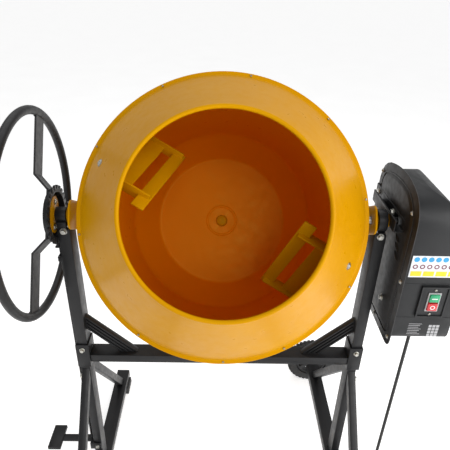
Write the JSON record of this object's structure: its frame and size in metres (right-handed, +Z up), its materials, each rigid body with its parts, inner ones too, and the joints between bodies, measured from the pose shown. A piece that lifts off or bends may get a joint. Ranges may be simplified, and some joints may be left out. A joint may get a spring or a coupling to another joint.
{
  "type": "concrete mixer",
  "caption": "Tilting-drum concrete mixer on a tubular stand with two wheels, a handwheel, a drum ring gear and a side motor box.",
  "frame": {"origin": "on the ground under the middle of the machine's bounding box, measured without the free part of the mains lead", "axes": "+X from the handwheel to the motor box along the tilt axis, +Y to the back, away from the raised mouth of the drum, +Z up"},
  "size_m": [0.945, 0.784, 1.1082],
  "materials": {
    "yellow_paint": "semi-gloss enamel over pressed steel",
    "black_paint": "satin powder coat",
    "box_plastic": "fine-grained moulded cover",
    "rim_plastic": "moulded wheel",
    "tyre_rubber": "solid rubber tyre",
    "foot_rubber": "moulded foot",
    "cord_rubber": "rubber-sheathed lead",
    "belt_rubber": "ribbed drive belt",
    "green_button": "gloss",
    "red_button": "gloss",
    "cast_iron": "as cast, machined teeth",
    "machined_steel": "turned",
    "motor_paint": "grey enamel"
  },
  "bodies": {
    "yoke": {"left_yoke_arm": "yellow_paint", "right_yoke_arm": "yellow_paint", "yoke_back": "yellow_paint", "left_trunnion": "yellow_paint", "right_trunnion": "yellow_paint", "drum_bearing": "cast_iron", "lock_disc": "black_paint", "handwheel": "black_paint"},
    "drum": {"drum_front": "yellow_paint", "drum_bowl": "yellow_paint", "drum_spindle": "machined_steel", "crown_gear": "cast_iron", "blade_1": "yellow_paint", "blade_2": "yellow_paint"},
    "pinion_drive": {"pinion": "cast_iron", "pinion_shaft": "machined_steel", "large_pulley": "cast_iron"},
    "motor_drive": {"motor_rotor": "machined_steel"},
    "front_wheel": {"front_tyre": "tyre_rubber", "front_rim": "rim_plastic"},
    "rear_wheel": {"rear_tyre": "tyre_rubber", "rear_rim": "rim_plastic"},
    "start_button": {"start_button": "green_button"},
    "stop_button": {"stop_button": "red_button"},
    "latch": {"latch_rod": "black_paint"},
    "foot_pedal": {"pedal": "black_paint"},
    "frame": {"left_post": "black_paint", "left_lower_leg": "black_paint", "left_sleeve": "black_paint", "left_gusset": "black_paint", "left_ground_beam": "black_paint", "left_front_brace": "black_paint", "left_rear_brace": "black_paint", "right_post": "black_paint", "right_lower_leg": "black_paint", "right_sleeve": "black_paint", "right_gusset": "black_paint", "right_ground_beam": "black_paint", "right_front_brace": "black_paint", "right_rear_brace": "black_paint", "crossbar": "black_paint", "left_bearing": "black_paint", "right_bearing": "black_paint", "axle": "machined_steel", "front_foot": "foot_rubber", "rear_foot": "foot_rubber", "latch_guide": "black_paint", "box_back_plate": "black_paint", "box_cover": "box_plastic", "hanger_bracket": "black_paint", "switch_plate": "box_plastic", "switch_body": "box_plastic", "drive_belt": "belt_rubber", "motor_body": "motor_paint", "motor_shelf": "black_paint", "cord_gland": "cord_rubber", "cord": "cord_rubber", "cord_coil": "cord_rubber", "plug": "cord_rubber"}
  },
  "joints": [
    {"name": "drum_tilt", "type": "hinge", "parent": "frame", "child": "yoke", "pos_m": [-0.0175, 0, 0.836], "axis": [1, 0, 0], "range_deg": [-60, 80]},
    {"name": "drum_spin", "type": "hinge", "parent": "yoke", "child": "drum", "pos_m": [-0.0175, 0, 0.836], "axis": [0, -0.866, 0.5], "continuous": true},
    {"name": "pinion_spin", "type": "hinge", "parent": "yoke", "child": "pinion_drive", "pos_m": [-0.0175, 0, 0.836], "axis": [1, 0, 0], "continuous": true},
    {"name": "motor_spin", "type": "hinge", "parent": "frame", "child": "motor_drive", "pos_m": [-0.0175, 0.035, 0.671], "axis": [1, 0, 0], "continuous": true},
    {"name": "front_wheel_spin", "type": "hinge", "parent": "frame", "child": "front_wheel", "pos_m": [0.308, -0.3635, 0.0815], "axis": [0, 1, 0], "continuous": true},
    {"name": "rear_wheel_spin", "type": "hinge", "parent": "frame", "child": "rear_wheel", "pos_m": [0.308, 0.3635, 0.0815], "axis": [0, 1, 0], "continuous": true},
    {"name": "start_press", "type": "slide", "parent": "frame", "child": "start_button", "axis": [0, 1, 0], "range_m": [0, 0.003], "stiffness_N_per_m": 400, "springref_m": -0.004},
    {"name": "stop_press", "type": "slide", "parent": "frame", "child": "stop_button", "axis": [0, 1, 0], "range_m": [0, 0.003], "stiffness_N_per_m": 400, "springref_m": -0.004},
    {"name": "pedal_press", "type": "hinge", "parent": "frame", "child": "foot_pedal", "pos_m": [-0.343, 0, 0.135], "axis": [0, -1, 0], "range_deg": [0, 20], "stiffness_Nm_per_rad": 3, "springref_deg": -28.65},
    {"name": "latch_drop", "type": "slide", "parent": "frame", "child": "latch", "axis": [0, 0, -1], "range_m": [0, 0.0085]}
  ],
  "couplings": [
    {"joint": "pinion_spin", "follows": "drum_spin", "ratio": -10},
    {"joint": "motor_spin", "follows": "drum_spin", "ratio": -50},
    {"joint": "latch_drop", "follows": "pedal_press", "m_per_rad": 0.022}
  ]
}
